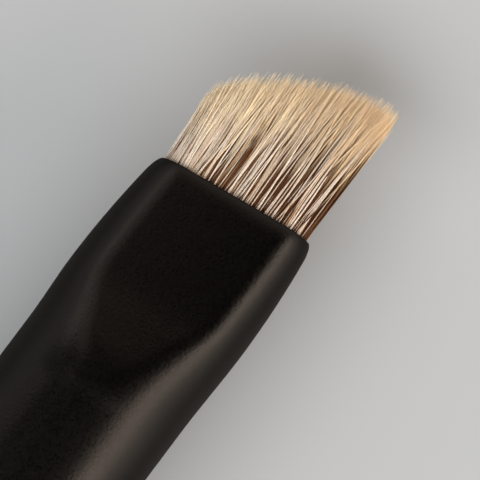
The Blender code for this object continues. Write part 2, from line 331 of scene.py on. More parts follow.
@dataclass(frozen=True)
class HairFinish:
    """Colour of one kind of hair, from its body to its bleached tip.

    The strands' own map gives each its tone and its place. The whole part of u times the tones is the
    strand's tone, which sets how long its pale tip is, and v is how far a point lies from the tip. The
    tone also throws the dice for three things: how far the body and the tip are of their other colour,
    which grows towards the long side too, and whether the body is one of the odd, golden ones.
    """

    name: str
    body: tuple
    body_other: tuple
    odd: tuple
    odd_share: float = 0.24
    odd_strength: float = 0.85
    tip: tuple = colour(0.82, 0.667, 0.455)
    tip_other: tuple = colour(0.70, 0.497, 0.293)
    half_width: float = 3.0 * MM
    body_ramp: tuple = (0.0, 0.6)
    body_scatter: float = 0.8
    body_scatter_power: float = 1.4
    body_longer: float = 0.0
    tip_ramp: tuple = (-0.38, 0.66)
    tip_scatter: float = 0.75
    tip_shortest: float = 1.0 * MM
    tip_longest: float = 6.0 * MM
    tip_blend: float = 1.1 * MM
    mottle: Noise = Noise(64.0)
    mottle_range: tuple = (0.86, 1.12)
    mottle_apart: float = 7.3
    roughness: float = 0.36
    tip_roughness: float = 0.55
    gloss: float = 0.06
    gloss_tint: tuple = colour(1.0, 0.82, 0.62)
    tones: int = 64
    map_reach: float = 8.0 * MM
    map_behind: float = 14.0 * MM
    map_share: float = 0.9

    def other(self, surface: Surface, ramp: tuple, chance: NodeSocket, scatter: float) -> NodeSocket:
        """Share of the other colour: a ramp from the short side to the long one, plus chance * scatter."""
        aside = surface.spread(surface.split(surface.place())[1], *ramp, self.half_width, -self.half_width)
        return surface.math("ADD", aside, surface.math("MULTIPLY", chance, scatter))

    def build(self) -> Material:
        """Mix body and tip where the strand's own tip length says, with a faint mottle along it.

        Returns:
            The material.
        """
        surface = Surface(self.name)
        u, v, _ = surface.own_map()
        tone = surface.math("FLOOR", surface.math("MULTIPLY", u, float(self.tones)))
        drawn = surface.add("TexWhiteNoise", {"W": tone}, noise_dimensions="1D").outputs["Color"]
        dice = surface.add("SeparateColor", {0: drawn}).outputs
        unlike = surface.math("POWER", dice[0], self.body_scatter_power)
        body_share = self.other(surface, self.body_ramp, unlike, self.body_scatter)
        body = surface.mix(body_share, self.body, self.body_other)
        odd = surface.spread(dice[2], 0.0, self.odd_strength, 1 - self.odd_share, 1 - self.odd_share / 2)
        body = surface.mix(odd, body, self.odd)
        tip_share = self.other(surface, self.tip_ramp, dice[1], self.tip_scatter)
        tip = surface.mix(tip_share, self.tip, self.tip_other)
        reach = surface.math("MULTIPLY", v, self.map_reach / self.map_share)
        change = surface.spread(tone, self.tip_shortest, self.tip_longest, 0.0, float(self.tones))
        off = surface.math("SUBTRACT", reach, change)
        share = surface.spread(off, 0.0, 1.0, -self.tip_blend, self.tip_blend, "SMOOTHSTEP")
        strand = surface.mix(share, tip, body)
        apart = surface.math("MULTIPLY", tone, self.mottle_apart)
        along = surface.add("CombineXYZ", {0: apart, 1: v}).outputs[0]
        mottle = surface.spread(surface.noise(along, self.mottle), *self.mottle_range, *NOISE_BULK)
        strand = surface.add("VectorMath", {0: strand, "Scale": mottle}, operation="SCALE").outputs[0]
        return surface.finished({
            "Base Color": strand,
            "Roughness": surface.spread(share, self.tip_roughness, self.roughness),
            "Specular IOR Level": self.gloss,
            "Specular Tint": self.gloss_tint,
        })


@dataclass(frozen=True)
class ThreadFinish:
    """Waxed linen thread: pale, with the twist of its plies drawn across it on its own map, and painted shade
    darkening the grooves between the plies.
    """

    base: tuple = colour(0.78, 0.73, 0.60)
    groove: tuple = colour(0.42, 0.36, 0.26)
    twists: float = 60.0
    roughness: tuple = (0.85, 0.60)
    ply_rise: float = 1.5e-5

    def build(self) -> Material:
        """Stripes that run slantwise round the thread: the sine of u times the twists plus v.

        Returns:
            The material.
        """
        surface = Surface("waxed_thread")
        u, v, _ = surface.own_map()
        turns = surface.math("ADD", surface.math("MULTIPLY", u, self.twists), v)
        wave = surface.math("SINE", surface.math("MULTIPLY", turns, math.tau))
        ply = surface.spread(wave, 0.0, 1.0, -1.0, 1.0)
        return surface.finished({
            # The darker groove colour is painted shade in the grooves between the plies.
            "Base Color": surface.mix(ply, self.groove, self.base),
            "Roughness": surface.spread(ply, *self.roughness),
            "Normal": surface.bump(ply, self.ply_rise),
        })


@dataclass(frozen=True)
class CuredGlue:
    """Cured resin or adhesive, clouded, with small bubbles under its skin."""

    name: str
    base: tuple
    cloud: tuple
    roughness: tuple
    coat: float = 0.4
    clouds: Noise = Noise(900, 4.0, 0.6)
    bubble_scale: float = 3200
    bubble_edge: tuple = (0.08, 0.22)
    bubble_rise: float = 1.2e-5

    def build(self) -> Material:
        """A noise clouds the colour, and the cells of a Voronoi pattern are the bubbles.

        Returns:
            The material.
        """
        surface = Surface(self.name)
        place = surface.place()
        cloud = surface.noise(place, self.clouds)
        cell = surface.add("TexVoronoi", {"Vector": place, "Scale": self.bubble_scale}).outputs["Distance"]
        bubble = surface.spread(cell, 1.0, 0.0, *self.bubble_edge, "SMOOTHSTEP")
        return surface.finished({
            "Base Color": surface.mix(cloud, self.base, self.cloud),
            "Roughness": surface.spread(cloud, *self.roughness),
            "Coat Weight": self.coat,
            "Normal": surface.bump(bubble, self.bubble_rise),
        })


GLUES = {
    "glue_plug": CuredGlue(
        "amber_epoxy", base=colour(0.46, 0.28, 0.10), cloud=colour(0.60, 0.40, 0.17), roughness=(0.12, 0.30)
    ),
    "handle_glue": CuredGlue(
        "pale_adhesive", base=colour(0.62, 0.55, 0.38), cloud=colour(0.74, 0.68, 0.52), roughness=(0.32, 0.5)
    ),
}


@dataclass(frozen=True)
class FloorFinish:
    """Pale matt studio floor, with a cloud too faint to notice."""

    base: tuple = colour(0.43, 0.43, 0.428)
    shade: tuple = colour(0.415, 0.415, 0.415)
    cloud: Noise = Noise(9.0)
    roughness: float = 0.9
    gloss: float = 0.1

    def build(self) -> Material:
        """A plain matt colour, clouded by a noise.

        Returns:
            The material.
        """
        surface = Surface("studio_floor")
        cloud = surface.noise(surface.place(), self.cloud)
        return surface.finished({
            "Base Color": surface.mix(cloud, self.base, self.shade),
            "Roughness": self.roughness,
            "Specular IOR Level": self.gloss,
        })


@dataclass(frozen=True)
class Section:
    """Cross-sections, one row each: the half length of the flat, the half width and the half height."""

    flat: Array
    half_width: Array
    half_height: Array

    def within(self, inset: Array | float) -> "Section":
        """The sections drawn in by an inset, with the flats as they are."""
        return Section(self.flat, self.half_width - inset, self.half_height - inset)

    def first(self) -> tuple[float, float, float]:
        """The sizes of the first section."""
        return float(self.flat[0, 0]), float(self.half_width[0, 0]), float(self.half_height[0, 0])

    def area(self) -> float:
        """Area of the first section: 4 f h for the flat, and pi (w - f) h for the two half ellipses."""
        flat, width, height = self.first()
        return (4 * flat + math.pi * (width - flat)) * height

    def rim(self, turns: Array) -> Pair:
        """Points round each section.

        A quarter of it is half the flat, f long, and a quarter ellipse of half axes a = w - f and h,
        about e = pi / 2 * sqrt((a * a + h * h) / 2) long. At the distance s from the top the point is
        (s, h) on the flat, and (f + a sin p, h cos p) past it, with p = (s - f) / e * pi / 2. The other
        quarters mirror that one.

        Args:
            turns: Shares of a whole turn, from the top over the +Y side.

        Returns:
            Y and Z of the points, a row for each section.
        """
        quarter = np.floor(turns * 4)
        share = turns * 4 - quarter
        share = np.where(quarter % 2 == 1, 1 - share, share)
        across = self.half_width - self.flat
        arc = math.pi / 2 * np.sqrt((across ** 2 + self.half_height ** 2) / 2)
        walked = share * (self.flat + arc)
        turn = np.clip((walked - self.flat) / arc, 0.0, 1.0) * math.pi / 2
        y = np.where(quarter < 2, 1, -1) * (np.minimum(walked, self.flat) + across * np.sin(turn))
        z = np.where((quarter == 0) | (quarter == 3), 1, -1) * self.half_height * np.cos(turn)
        return y, z


@dataclass
class Ferrule:
    """The aluminium tube: rolled lip, crowned flat, crease, ramp, round barrel and crimp rings."""

    mouth_x: float
    axis_z: float
    length: float = 32.0 * MM
    wall: float = 0.28 * MM
    crown: float = 0.1 * MM
    barrel: float = 7.5 * MM / 2
    mouth_half_width: float = 7.0 * MM / 2
    mouth_half_height: float = 3.3 * MM / 2
    slant: float = math.tan(math.radians(6.2))
    pressed_flat: float = 4.4 * MM / 2
    bulge: float = 7.7 * MM / 2
    crease_depth: float = 5.2 * MM
    crease_half_height: float = 5.2 * MM / 2
    crease_rounding: float = 0.6 * MM
    ramp: float = 3.4 * MM
    ramp_rounding: float = 0.85 * MM
    flat_fade: float = 4.8 * MM
    flat_fade_power: float = 1.3
    lip: float = 0.75 * MM
    lip_turn: float = 0.18 * MM
    lip_rings: int = 13
    edge: float = 0.05 * MM
    edge_rings: int = 4
    crimps: int = 2
    crimp_from_back: float = 3.2 * MM
    crimp_spacing: float = 2.6 * MM
    crimp_width: float = 1.3 * MM
    crimp_groove: float = 0.28 * MM
    around: int = 144
    step: float = 0.25 * MM
    back_length: float = 8.0 * MM
    back_rings: int = 120

    def section(self, depth: Array) -> Section:
        """Outside of the tube at some depths, before its lip and crimps draw it in.

        The half height is the barrel's, less the ramp's slope times the distance in front of the ramp's
        end, plus the change of slope times the distance in front of the crease, both corners rounded.
        The half width swells to the crease as a parabola and then eases to the barrel's.

        Args:
            depth: Depths behind the rim.

        Returns:
            The sections, one row each.
        """
        d = np.asarray(depth, float).reshape(-1, 1)
        back = (self.barrel - self.crease_half_height) / self.ramp
        front = (self.crease_half_height - self.mouth_half_height) / self.crease_depth
        half_height = self.barrel - back * past(self.crease_depth + self.ramp - d, self.ramp_rounding)
        half_height += (back - front) * past(self.crease_depth - d, self.crease_rounding)
        swell = np.clip(1 - d / self.crease_depth, 0.0, 1.0) ** 2
        half_width = self.bulge - (self.bulge - self.mouth_half_width) * swell
        half_width += (self.barrel - self.bulge) * smooth(d - self.crease_depth, 0.0, self.ramp)
        fade = np.clip(past(d - self.crease_depth, self.crease_rounding) / self.flat_fade, 0.0, 1.0)
        return Section(self.pressed_flat * (1 - fade) ** self.flat_fade_power, half_width, half_height)

    def crowned(self, y: Array, z: Array, depth: Array) -> Array:
        """Spring the pressed flat back into a slight crown.

        Z is stretched by 1 + c * (1 - (y / w) squared) * f / F / h, with c the crown, w and h the half
        width and height of the section, f its flat's half length and F that of the mouth's flat.

        Args:
            y: Y of the points, a row for each depth.
            z: Their Z from the axis.
            depth: Depths behind the rim.

        Returns:
            Z with the crown.
        """
        shape = self.section(depth)
        share = shape.flat / self.pressed_flat * np.maximum(1 - (y / shape.half_width) ** 2, 0.0)
        return z * (1 + self.crown * share / shape.half_height)

    def slant_at(self, depth: Array) -> Array:
        """Slant of a ring at a depth: the mouth's up to the crease, and none on the round barrel."""
        return self.slant * (1 - smooth(depth - self.crease_depth, 0.0, self.ramp))

    def crimp_depths(self) -> Array:
        """Depths of the crimp rings' middles."""
        return self.length - self.crimp_from_back - self.crimp_spacing * np.arange(self.crimps)

    def crimp_inset(self, depth: Array) -> Array:
        """How far the crimp rings press the wall in: a raised cosine over each ring's width."""
        off = np.abs(depth[:, None] - self.crimp_depths()) / (self.crimp_width / 2)
        return (self.crimp_groove * (1 + np.cos(math.pi * np.minimum(off, 1.0))) / 2).sum(axis=-1)

    def slanted(self, y: Array, z: Array, depth: Array) -> Array:
        """Points on slanted rings: x = mouth - depth - slant * y, and z is raised to the axis."""
        x = self.mouth_x - depth - self.slant_at(depth) * y
        return np.stack((x, y, z + self.axis_z), axis=-1)

    def turned(self, depth: Array, radius: Array, turn: Array) -> Array:
        """Points round the axis: x = mouth - depth, y = r * sin(turn) and z = axis + r * cos(turn)."""
        y, z = radius * np.sin(turn), radius * np.cos(turn) + self.axis_z
        return np.stack(np.broadcast_arrays(self.mouth_x - depth, y, z), axis=-1)

    def profile(self) -> Pair:
        """The wall's profile, outside from the lip to the back rim and then inside to the mouth.

        The lip is a quarter ellipse: depth = lip * (1 - sin a), inset = turn * (1 - cos a). The edges of
        the back rim and of the bore's mouth are small quarter circles.

        Returns:
            Depth and inset of each ring.
        """
        turn = np.linspace(math.pi / 2, 0.0, self.lip_rings)
        lip = np.stack((self.lip * (1 - np.sin(turn)), self.lip_turn * (1 - np.cos(turn))))
        front = np.arange(self.lip + self.step, self.length - 2 * self.edge, self.step)
        back = self.length - np.linspace(2 * self.edge, self.back_length, self.back_rings)
        along = np.unique(np.concatenate((front[front < back.min()], back)))
        outside = np.stack((along, np.zeros_like(along)))
        turn = np.linspace(0.0, math.pi / 2, self.edge_rings)
        edge_depth, edge_inset = self.edge * (1 - np.sin(turn)), self.edge * (1 - np.cos(turn))
        rim = np.stack((self.length - edge_depth, edge_inset))
        corner = np.array([[self.length], [self.wall]])
        bore = np.stack((along[::2][::-1], np.full_like(along[::2], self.wall)))
        mouth = np.stack((edge_depth, self.wall - edge_inset))
        return tuple(np.concatenate((lip, outside, rim, corner, bore, mouth), axis=1))

    def build(self) -> None:
        """The tube as one closed wall."""
        depth, inset = self.profile()
        drawn = self.section(depth).within((inset + self.crimp_inset(depth))[:, None])
        y, z = drawn.rim((np.arange(self.around) + 0.5) / self.around)
        points = self.slanted(y, self.crowned(y, z, depth), depth[:, None])
        faces = grid_faces(len(depth), self.around, closed=True)
        make_piece("ferrule_shell", points, [faces], "ferrule", MatteCoat().build())


@dataclass
class Handle:
    """The turned handle: tenon, rounded shoulder, belly with a straight stretch, taper and flat tail."""

    ferrule: Ferrule
    length: float = 112.0 * MM
    seat_gap: float = 0.04 * MM
    glue: float = 0.15 * MM
    shoulder_step: float = 0.06 * MM
    shoulder_round: float = 0.2 * MM
    shoulder_rings: int = 7
    belly: float = 8.2 * MM / 2
    belly_start: float = 15.0 * MM
    belly_length: float = 40.0 * MM
    swell_rings: int = 40
    taper_power: float = 1.7
    taper_rings: int = 70
    tail: float = 5.0 * MM / 2
    tail_round: float = 1.0 * MM
    tail_rings: int = 13
    tenon_length: float = 14.0 * MM
    tenon_chamfer: float = 0.6 * MM
    tenon_rings: int = 90
    around: int = 128

    def tenon(self) -> Pair:
        """Rings of the tenon, which leave room for the glue and follow the crimps.

        Returns:
            Depth and radius of each ring.
        """
        front = self.ferrule.length - self.tenon_length
        depth = np.linspace(front + self.tenon_chamfer, self.ferrule.length + self.seat_gap, self.tenon_rings)
        room = self.ferrule.wall + 2 * self.seat_gap + self.glue
        radius = self.ferrule.barrel - room - self.ferrule.crimp_inset(depth)
        chamfer = radius[0] - self.tenon_chamfer
        return np.concatenate(([front], depth)), np.concatenate(([chamfer], radius))

    def outside(self) -> Pair:
        """Rings behind the ferrule.

        The shoulder's edge and the tail's are quarter circles. The radius eases from the shoulder to
        the belly, stays level, and falls as the taper's power of the way from the belly to the tail.

        Returns:
            Distance behind the shoulder and radius of each ring.
        """
        shoulder = self.ferrule.barrel + self.shoulder_step
        turn = np.linspace(0.0, math.pi / 2, self.shoulder_rings)
        edge_radius = shoulder - self.shoulder_round * (1 - np.sin(turn))
        edge = np.stack((self.shoulder_round * (1 - np.cos(turn)), edge_radius))
        way = np.linspace(0.0, 1.0, self.swell_rings)[1:]
        swell_back = self.shoulder_round + (self.belly_start - self.shoulder_round) * way
        swell = np.stack((swell_back, shoulder + (self.belly - shoulder) * smooth(way)))
        taper_start, taper_end = self.belly_start + self.belly_length, self.length - self.tail_round
        way = np.linspace(0.0, 1.0, self.taper_rings)
        taper_radius = self.belly - (self.belly - self.tail) * way ** self.taper_power
        taper = np.stack((taper_start + (taper_end - taper_start) * way, taper_radius))
        turn = np.linspace(0.0, math.pi / 2, self.tail_rings)[1:]
        tail_radius = self.tail - self.tail_round * (1 - np.cos(turn))
        tail = np.stack((taper_end + self.tail_round * np.sin(turn), tail_radius))
        return tuple(np.concatenate((edge, swell, taper, tail), axis=1))

    def build(self) -> None:
        """The handle as one turned solid, with a flat face at each end."""
        tenon_depth, tenon_radius = self.tenon()
        back, radius = self.outside()
        depth = np.concatenate((tenon_depth, self.ferrule.length + self.seat_gap + back))[:, None]
        radius = np.concatenate((tenon_radius, radius))[:, None]
        points = self.ferrule.turned(depth, radius, math.tau * np.arange(self.around) / self.around)
        faces = rod_faces(len(depth), self.around)
        make_piece("turned_handle", points, faces, "handle", BlackLacquer().build())


@dataclass
class Bundle:
    """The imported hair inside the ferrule: it fills the bore at the mouth and is round at its root."""

    ferrule: Ferrule
    mouth_depth: float = 0.3 * MM
    neck: float = 6.2 * MM
    root_depth: float = 11.4 * MM
    seat_gap: float = 0.04 * MM
    table: int = 181

    def mouth(self) -> Section:
        """Section of the bundle at the ferrule's mouth."""
        return self.ferrule.section(np.array([self.mouth_depth])).within(self.ferrule.wall + self.seat_gap)

    def half_width(self) -> float:
        """Half width of the bundle there."""
        return self.mouth().first()[1]

    def root_radius(self) -> float:
        """Radius of the root, whose circle has the area of the mouth's section."""
        return math.sqrt(self.mouth().area() / math.pi)

    def to_root(self, y: Array, z: Array) -> Pair:
        """Where hairs at points of the mouth's section stand in the round root.

        A row of the section at height z goes to the row of the circle with as much of the area below
        it, and a hair keeps its share of the way along its row. The areas are looked up in a table.

        Args:
            y: Y of the hairs at the mouth.
            z: Z of the hairs at the mouth, from the axis.

        Returns:
            Y and Z of the hairs at the root.
        """
        flat, width, height = self.mouth().first()
        radius = self.root_radius()
        turn = np.linspace(-math.pi / 2, math.pi / 2, self.table)
        lens = turn + np.sin(2 * turn) / 2
        below_mouth = 2 * flat * height * np.sin(turn) + (width - flat) * height * lens
        low = np.interp(np.clip(z / height, -1, 1), np.sin(turn), below_mouth)
        root_turn = np.interp(low, radius ** 2 * lens, turn)
        row = flat + (width - flat) * np.sqrt(np.maximum(1 - (z / height) ** 2, 0.0))
        return y / row * radius * np.cos(root_turn), radius * np.sin(root_turn)

    def inside(self, y: Array, z: Array) -> Array:
        """Points of the hairs inside the ferrule, at the end of the neck and at the round root."""
        depths = (self.mouth_depth + self.neck, self.root_depth)
        return np.stack([self.ferrule.slanted(*self.to_root(y, z), depth) for depth in depths], axis=1)


class Kind(Enum):
    """The kinds of hair in the tuft: pale and dark on its outside, and within a brown one whose darker,
    redder body is painted shade for the gaps between the outer strands, and whose tips, paler than the
    outside's, are painted light that lifts the shade in those gaps.
    """

    PALE = "pale_hair"
    DARK = "dark_hair"
    INNER = "inner_hair"


HAIR_FINISHES = {
    Kind.PALE: HairFinish(
        "pale_hair", body=colour(0.76, 0.65, 0.54), body_other=colour(0.36, 0.235, 0.15),
        body_ramp=(-0.1, 0.12), odd=colour(0.60, 0.44, 0.30), odd_share=0.2, body_longer=0.8 * MM,
        tip_longest=4.3 * MM, gloss=0.5
    ),
    Kind.DARK: HairFinish(
        "dark_hair", body=colour(0.15, 0.062, 0.027), body_other=colour(0.05, 0.0165, 0.006),
        body_ramp=(0.0, 0.45), odd=colour(0.40, 0.225, 0.115)
    ),
    # Inner hair: its dark red-brown body is painted shade for the gaps between the outer strands, and its
    # tips, paler than the pale hair's, are painted light lifting the shade in them.
    Kind.INNER: HairFinish(
        "inner_hair", body=colour(0.2, 0.085, 0.038), body_other=colour(0.065, 0.023, 0.009),
        odd=colour(0.40, 0.225, 0.115), tip=colour(0.92, 0.762, 0.53), tip_other=colour(0.80, 0.587, 0.36)
    ),
}


@dataclass
class Tuft:
    """Some 4,100 tapered strands, cut on a slant, gathered in clumps that part above the ferrule.

    Pale guard hairs lie on the surface of the outer layer, at about one guard pitch from each other.
    All arrays below have one entry, or one row, for each strand.
    """

    bundle: Bundle
    seed: int = 11
    outer_pitch: float = 0.0455 * MM
    inner_pitch: float = 0.081 * MM
    outer_layer: float = 0.27 * MM
    guard_layer: float = 0.035 * MM
    guard_pitch: float = 0.15 * MM
    guard_rise: float = 0.025 * MM
    guard_thicker: float = 1.02
    jitter: float = 0.014 * MM
    margin: float = 0.035 * MM
    radius: float = 0.0265 * MM
    radius_varies: float = 0.2
    long_reach: float = 6.52 * MM
    short_drop: float = 3.5 * MM
    cut_power: float = 1.68
    steep_share: float = 0.13
    steep_power: float = 6.0
    corner_width: float = 0.12 * MM
    corner_drop: float = 0.2 * MM
    uneven: float = 0.62 * MM
    proud_share: float = 0.15
    proud: float = 0.26 * MM
    lean_at_short_side: float = 0.075
    drawn_in: float = 0.24
    clump_pitch: float = 0.36 * MM
    clump_pull: tuple = (0.0, 0.6)
    clump_gather: tuple = (0.0, 0.35)
    clump_part: tuple = (0.45, 0.95)
    clump_kept: float = 0.05
    clump_sway: float = 0.05 * MM
    strand_lean: float = math.radians(1.7)
    strand_rise: float = math.radians(0.4)
    stray_share: float = 0.18
    stray_lean: float = math.radians(3.2)
    bow: float = 0.045 * MM
    edge_start: float = 0.7
    flick: float = 0.19 * MM
    edge_flick: float = 0.35
    dark_sides: tuple = (0.0, 0.2, 0.26, 0.4, 0.45, 0.55, 0.62, 0.76, 0.85, 0.96, 0.98, 1.0)
    dark_shares: tuple = (0.3, 0.24, 0.91, 0.91, 0.6, 0.6, 0.84, 0.94, 0.84, 0.78, 0.92, 1.0)
    dark_clumping: float = 0.1
    body_lengths: tuple = (1.1, 1.5, 1.95, 2.7, 2.9, 3.2, 3.4, 3.6, 4.0, 4.4, 4.8, 4.8)
    body_varies: float = 0.7 * MM
    sides: int = 5
    stations: tuple = (1.0, 0.93, 0.82, 0.66, 0.46, 0.24, 0.0)
    taper_start: float = 0.4
    taper_power: float = 1.5
    tip_share: float = 0.13
    map_margin: float = 0.1
    cap_rows: tuple = (0.006, 0.99)
    cap_height: float = 0.005

    def __post_init__(self) -> None:
        """Start the source of chance."""
        self.dice = np.random.default_rng(self.seed)

    def depth_in(self, y: Array, z: Array) -> Array:
        """How deep points lie under the bundle's top or underside.

        It is h * sqrt(1 - e * e) - |z|, with e the share of the way from the flat's end to the side.

        Args:
            y: Y of the points.
            z: Z of the points, from the axis.

        Returns:
            Their depths, and -1 for points past the side.
        """
        flat, width, height = self.bundle.mouth().within(self.margin).first()
        over = np.maximum(np.abs(y) - flat, 0.0) / (width - flat)
        depth = height * np.sqrt(np.maximum(1 - over ** 2, 0.0)) - np.abs(z)
        return np.where(over < 1, depth, -1.0)

    def roots(self, pitch: float) -> tuple[Array, Array, Array]:
        """Stand strands at the mouth in staggered rows, a little disturbed.

        Args:
            pitch: Distance between neighbours.

        Returns:
            Y and Z of the strands inside the section, and how deep they lie in it.
        """
        _, width, height = self.bundle.mouth().first()
        rise = pitch * math.sqrt(3) / 2
        rows = np.arange(-math.ceil(height / rise), math.ceil(height / rise) + 1)
        columns = np.arange(-math.ceil(width / pitch), math.ceil(width / pitch) + 1)
        y = ((columns[None, :] + rows[:, None] % 2 / 2) * pitch).ravel()
        z = np.repeat(rows * rise, len(columns))
        y = y + self.dice.normal(0.0, self.jitter, y.size)
        z = z + self.dice.normal(0.0, self.jitter, z.size)
        depth = self.depth_in(y, z)
        return y[depth >= 0], z[depth >= 0], depth[depth >= 0]

    def layers(self) -> tuple[Array, ...]:
        """All the strands at the mouth; the outer layer is denser than the inner one.

        The surface is cut into cells one guard pitch wide, and a strand in each is its guard hair.

        Returns:
            Y and Z of the strands, which are inner ones, and which are guard hairs of the surface.
        """
        outer_y, outer_z, outer_depth = self.roots(self.outer_pitch)
        inner_y, inner_z, inner_depth = self.roots(self.inner_pitch)
        outer, inner = outer_depth <= self.outer_layer, inner_depth > self.outer_layer
        y = np.concatenate((outer_y[outer], inner_y[inner]))
        z = np.concatenate((outer_z[outer], inner_z[inner]))
        depth = np.concatenate((outer_depth[outer], inner_depth[inner]))
        surface = self.dice.permutation(np.flatnonzero(depth < self.guard_layer))
        cell = np.floor(y[surface] / self.guard_pitch) + np.where(z[surface] > 0, surface.size, 0)
        guard = np.zeros(y.size, bool)
        guard[surface[np.unique(cell, return_index=True)[1]]] = True
        return y, z, np.arange(y.size) >= outer.sum(), guard

    def clumps(self, y: Array, z: Array) -> tuple[Array, Array, Array]:
        """Gather the strands into clumps round scattered centres.

        Args:
            y: Y of the strands at the mouth.
            z: Z of the strands at the mouth.

        Returns:
            The number of each strand's clump, and Y and Z of every clump's centre.
        """
        count = int(self.bundle.mouth().area() / self.clump_pitch ** 2)
        chosen = self.dice.choice(y.size, count, replace=False)
        away = (y[:, None] - y[chosen]) ** 2 + (z[:, None] - z[chosen]) ** 2
        nearest = away.argmin(axis=1)
        members = np.maximum(np.bincount(nearest, minlength=count), 1)
        return nearest, np.bincount(nearest, y, count) / members, np.bincount(nearest, z, count) / members

    def side(self, y: Array) -> Array:
        """Share of the way from the short side, 0, to the long side, 1."""
        return (1 - y / self.bundle.half_width()) / 2

    def cut(self, y: Array) -> Array:
        """Reach of the cut for a strand that stands at y.

        With a the share of the way from the long corner to the short side, the reach is the long one
        less the drop times (1 - k) a^p + k a^q. A parabola rounds the long corner by the corner's drop.

        Args:
            y: Y of the strands at the mouth.

        Returns:
            The reach of each.
        """
        half_width = self.bundle.half_width()
        from_edge = y + half_width - self.corner_width
        away = np.clip(from_edge / (2 * half_width - self.corner_width), 0.0, 1.0)
        drop = (1 - self.steep_share) * away ** self.cut_power + self.steep_share * away ** self.steep_power
        corner = np.clip(from_edge / self.corner_width, -1.0, 0.0) ** 2
        return self.long_reach - self.short_drop * drop - self.corner_drop * corner

    def kinds(self, y: Array, inner: Array, guard: Array, clump: Array) -> dict[Kind, Array]:
        """Which strands are of each kind.

        The share of dark ones in the outer layer changes from side to side as the two tables say, from
        about a quarter at the short side to all at the long side's very edge. Guard hairs are pale.

        Args:
            y: Y of the strands at the mouth.
            inner: Whether each strand is an inner one.
            guard: Whether it is a guard hair.
            clump: Number of each strand's clump.

        Returns:
            For each kind, whether each strand is of it.
        """
        chance = np.interp(self.side(y), self.dark_sides, self.dark_shares)
        chance = chance + self.dice.normal(0.0, self.dark_clumping, clump.max() + 1)[clump]
        dark = (self.dice.random(y.size) < chance) & ~guard
        return {Kind.PALE: ~inner & ~dark, Kind.DARK: ~inner & dark, Kind.INNER: inner}

    def tones(self, y: Array, finish: HairFinish) -> Array:
        """Give each strand the tone whose pale tip is what the cut leaves above a body of its length.

        Args:
            y: Y of the strands at the mouth.
            finish: Their finish.

        Returns:
            Tone numbers.
        """
        body = np.interp(self.side(y), self.dark_sides, self.body_lengths) * MM + finish.body_longer
        body = body + self.dice.normal(0.0, self.body_varies, y.size)
        share = (self.cut(y) - body - finish.tip_shortest) / (finish.tip_longest - finish.tip_shortest)
        return np.clip(share * finish.tones, 0, finish.tones - 1).astype(int)

    def paths(self, y: Array, z: Array, guard: Array, clump: tuple[Array, Array, Array]) -> Pair:
        """Centre lines of the strands, from tip to root.

        At the share s of the run from the mouth to the tip a strand stands at its root's place, plus
        its lean times s, plus its clump's pull towards the centre, plus its own bow and its clump's
        sway, both times sin(pi s), plus the flick of its tip, times s cubed. The pull grows from the
        mouth and eases to what is kept of it at the tip. Near the sides no strand leans outwards by
        chance, and an outward flick is partly kept. The cut is the one at the place that the tip
        wanders to, and some tips stand proud of it. Guard hairs lie on top of the others. The tuft is
        drawn in towards its tip, more for the longer strands.

        Args:
            y: Y of the strands at the mouth.
            z: Z of the strands at the mouth.
            guard: Whether each strand is a guard hair.
            clump: Clump numbers and centres, as clumps() gives them.

        Returns:
            Points as (strand, station, 3), and the distance of each point from its tip.
        """
        number, centre_y, centre_z = clump
        count = y.size
        ferrule = self.bundle.ferrule
        base_x = ferrule.mouth_x - self.bundle.mouth_depth - ferrule.slant * y
        short = self.dice.uniform(0.0, self.uneven, count)
        proud = self.dice.random(count) < self.proud_share
        short = np.where(proud, -self.dice.uniform(0.0, self.proud, count), short)
        pull = self.dice.uniform(*self.clump_pull, centre_y.size)[number]
        lean_y = self.dice.normal(0.0, self.strand_lean, count)
        lean_z = self.dice.normal(0.0, self.strand_rise, count)
        stray = self.dice.random(count) < self.stray_share
        lean_y = lean_y + np.where(stray, self.dice.normal(0.0, self.stray_lean, count), 0.0)
        flick = self.dice.normal(0.0, self.flick, count)
        off_middle = 1 - 2 * self.side(y)
        inner = 1 - smooth(np.abs(off_middle), self.edge_start, 1)
        lean_y = np.where(lean_y * off_middle > 0, lean_y * inner, lean_y)
        flick = np.where(flick * off_middle > 0, flick * np.maximum(inner, self.edge_flick), flick)
        wander = lean_y * (self.cut(y) + ferrule.mouth_x - base_x) + flick
        run = ferrule.mouth_x + self.cut(y + wander) - short - base_x
        lean_y = lean_y + self.lean_at_short_side * (1 - self.side(y))
        bow = self.dice.normal(0.0, self.bow, count)
        bow = bow + self.dice.normal(0.0, self.clump_sway, centre_y.size)[number] * inner

        s = np.array(self.stations)[None, :]
        along = run[:, None] * s
        parted = (1 - self.clump_kept) * smooth(s, *self.clump_part)
        held = pull[:, None] * smooth(s, *self.clump_gather) * (1 - parted)
        arch = bow[:, None] * np.sin(math.pi * s) + flick[:, None] * s ** 3
        line_y = y[:, None] + held * (centre_y[number] - y)[:, None] + lean_y[:, None] * along + arch
        drawn = 1 - self.drawn_in * along / (self.long_reach + self.bundle.mouth_depth)
        line_z = (z[:, None] + held * (centre_z[number] - z)[:, None]) * drawn + lean_z[:, None] * along
        risen = np.sign(z) * guard * self.guard_rise
        line_z = line_z + risen[:, None] * smooth(s, *self.clump_gather)
        outside = np.stack((base_x[:, None] + along, line_y, line_z + ferrule.axis_z), axis=-1)
        lines = np.concatenate((outside, self.bundle.inside(y, z)), axis=1)
        steps = np.linalg.norm(np.diff(lines, axis=1), axis=2)
        return lines, np.concatenate((np.zeros((count, 1)), np.cumsum(steps, axis=1)), axis=1)

